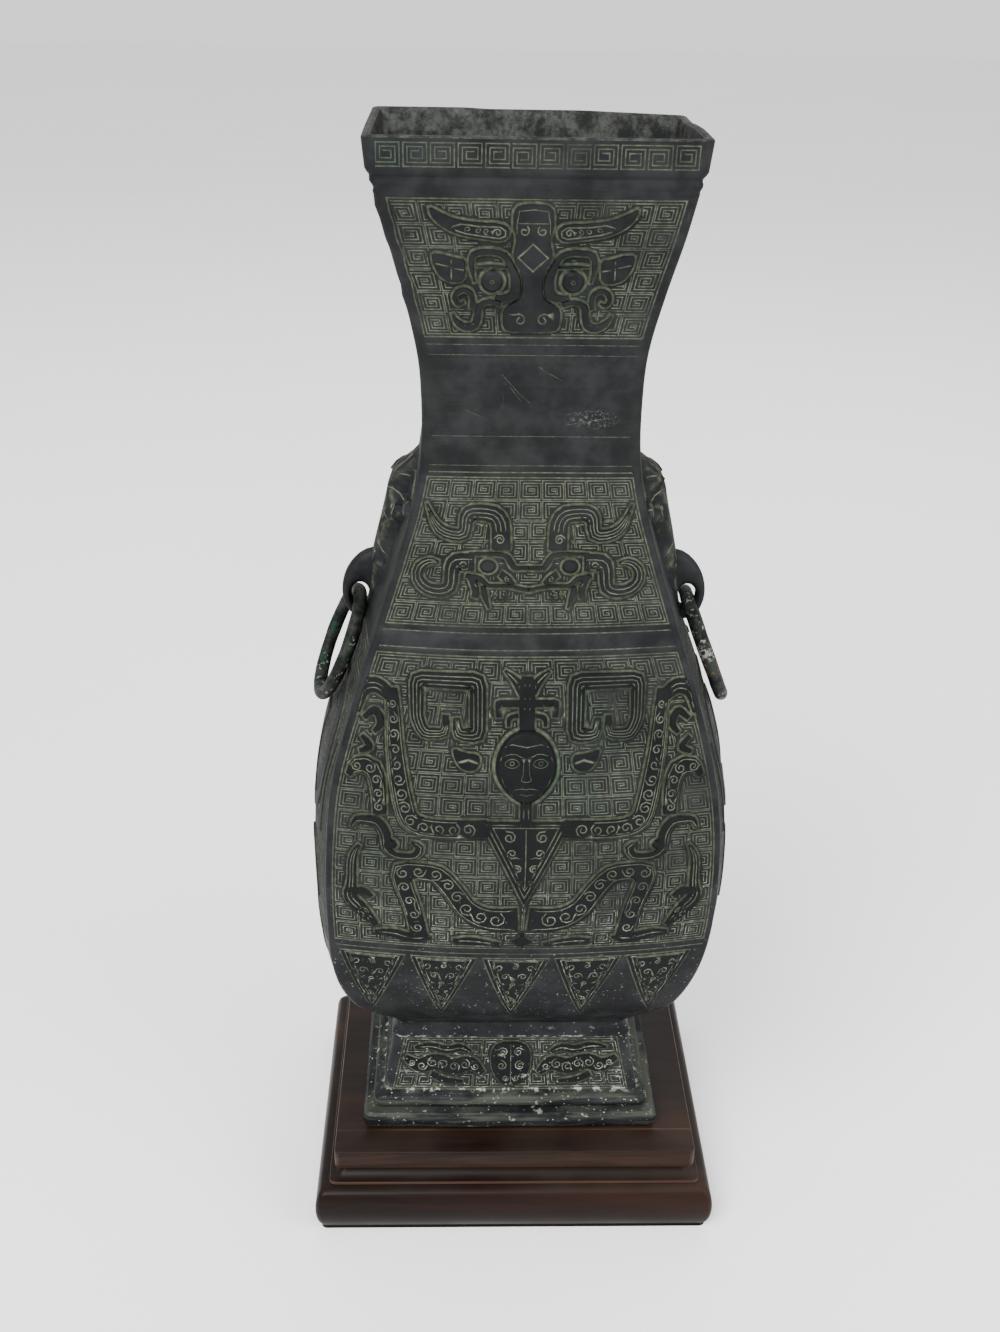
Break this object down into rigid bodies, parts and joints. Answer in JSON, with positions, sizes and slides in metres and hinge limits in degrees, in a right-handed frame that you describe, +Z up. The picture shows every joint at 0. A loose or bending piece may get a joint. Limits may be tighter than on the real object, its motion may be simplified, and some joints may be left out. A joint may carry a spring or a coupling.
{
  "type": "archaistic bronze vase on a wooden stand",
  "caption": "Tall cast bronze vase of rectangular section with relief masks, animal-head loops and loose ring handles, standing on a stepped dark wooden stand.",
  "frame": {"origin": "centre of the stand's underside, which rests on the surface below", "axes": "+Z up, +X to the right along the wide front, +Y from the front to the back"},
  "size_m": [0.1996, 0.1526, 0.5195],
  "materials": {
    "vase_bronze": "dark brown-black patina with olive-green patina in the grooves and low ground, satin, small bright specks low down",
    "ring_bronze": "rough dark patina with verdigris, pale and rust spots",
    "stand_wood": "dark reddish brown stained hardwood, worn satin, with lighter worn edges"
  },
  "bodies": {
    "vase": {"vase_body": "vase_bronze", "stand_platform": "stand_wood", "stand_base_board": "stand_wood"},
    "left_ring": {"left_ring": "ring_bronze"},
    "right_ring": {"right_ring": "ring_bronze"}
  },
  "joints": [
    {"name": "left_ring_swing", "type": "hinge", "parent": "vase", "child": "left_ring", "pos_m": [-0.0731, 0, 0.319], "axis": [-0.0872, 0.9962, 0], "range_deg": [0, 140]},
    {"name": "right_ring_swing", "type": "hinge", "parent": "vase", "child": "right_ring", "pos_m": [0.0731, 0, 0.319], "axis": [0, -1, 0], "range_deg": [0, 140]}
  ]
}
